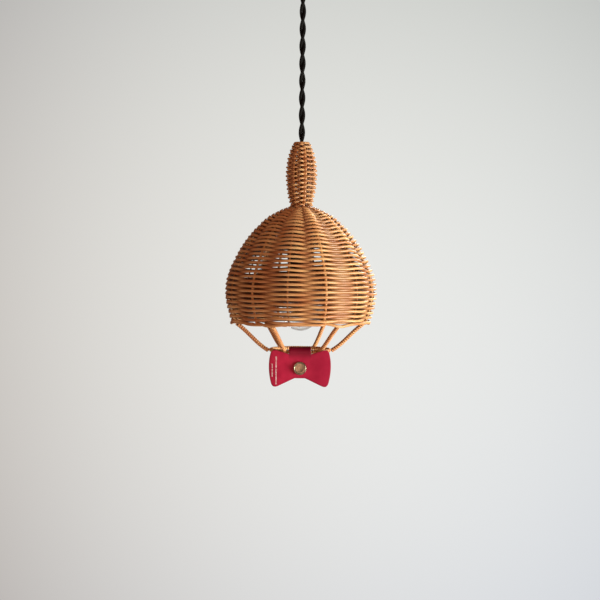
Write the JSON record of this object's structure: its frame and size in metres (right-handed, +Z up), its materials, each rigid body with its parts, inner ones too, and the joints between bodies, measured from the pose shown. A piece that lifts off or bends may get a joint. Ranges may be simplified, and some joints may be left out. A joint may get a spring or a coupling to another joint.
{
  "type": "woven pendant lamp",
  "caption": "Small woven cane pendant lamp: spindle neck, onion-shaped dome, wrapped ribs down to a ring, and a leather bow-tie tag, hung on a twisted cord.",
  "frame": {"origin": "centre of the top face of the ceiling bracket, where it lies on the ceiling", "axes": "+Z up out of the ceiling face, the lamp hangs towards -Z, its front with the bow-tie tag looks towards -Y, +X to the right seen from the front"},
  "size_m": [0.151, 0.151, 0.4408],
  "materials": {
    "cane_weave": "semi-gloss lacquered honey cane",
    "cane_stake": "satin cane",
    "cane_wrap": "semi-gloss split cane",
    "red_leather": "satin smooth-grained leather",
    "antique_brass": "worn antique satin",
    "brass": "bright",
    "steel": "zinc-plated satin",
    "black_plastic": "fine matt",
    "ceramic": "glazed white ceramic",
    "cord_cloth": "braided cotton cover",
    "core_insulation": "smooth",
    "black_glass": "fused black glass",
    "clear_glass": "clear",
    "tungsten": "drawn wire"
  },
  "bodies": {
    "ceiling_fitting": {"ceiling_bracket": "steel", "ceiling_cup": "black_plastic", "cup_screw_left": "steel", "cup_screw_right": "steel", "ceiling_cord_grip": "black_plastic", "terminal_block": "ceramic", "supply_core_live": "core_insulation", "supply_core_neutral": "core_insulation"},
    "pendant": {"cord": "cord_cloth", "neck_weave": "cane_weave", "dome_weave": "cane_weave", "border_stake_1": "cane_stake", "border_stake_2": "cane_stake", "border_stake_3": "cane_stake", "border_stake_4": "cane_stake", "border_stake_5": "cane_stake", "border_stake_6": "cane_stake", "rib_stake_1": "cane_stake", "rib_stake_2": "cane_stake", "rib_stake_3": "cane_stake", "rib_stake_4": "cane_stake", "rib_stake_5": "cane_stake", "rib_stake_6": "cane_stake", "ring_core": "cane_stake", "rib_wrap_1": "cane_wrap", "rib_wrap_2": "cane_wrap", "rib_wrap_3": "cane_wrap", "rib_wrap_4": "cane_wrap", "rib_wrap_5": "cane_wrap", "rib_wrap_6": "cane_wrap", "ring_wrap": "cane_wrap", "retaining_washer": "steel", "cord_grip": "black_plastic", "holder_cap": "black_plastic", "holder_body": "black_plastic", "holder_insert": "ceramic", "screw_shell": "brass", "centre_contact": "brass", "terminal_screw_live": "brass", "terminal_screw_neutral": "brass", "cord_core_live": "core_insulation", "cord_core_neutral": "core_insulation"},
    "bulb": {"bulb_tip": "steel", "bulb_insulator": "black_glass", "bulb_base": "brass", "bulb_glass": "clear_glass", "bulb_stem": "clear_glass", "bulb_lead_left": "tungsten", "bulb_lead_right": "tungsten", "bulb_filament": "tungsten"},
    "tag": {"tag_front": "red_leather", "snap_cap": "antique_brass", "snap_socket": "antique_brass"},
    "tongue": {"tag_tongue": "red_leather", "snap_stud": "antique_brass", "snap_post": "antique_brass"}
  },
  "joints": [
    {"name": "pendant_swing", "type": "hinge", "parent": "ceiling_fitting", "child": "pendant", "pos_m": [0, 0, -0.04], "axis": [0, 1, 0], "range_deg": [-15, 15]},
    {"name": "bulb_unscrew", "type": "slide", "parent": "pendant", "child": "bulb", "axis": [0, 0, -1], "range_m": [0, 0.014]},
    {"name": "tag_swing", "type": "hinge", "parent": "pendant", "child": "tag", "pos_m": [0, -0.0279, -0.407], "axis": [-1, 0, 0], "range_deg": [-35, 4]},
    {"name": "tongue_open", "type": "hinge", "parent": "tag", "child": "tongue", "pos_m": [0, -0.0237, -0.4084], "axis": [1, 0, 0], "range_deg": [0, 60]}
  ]
}
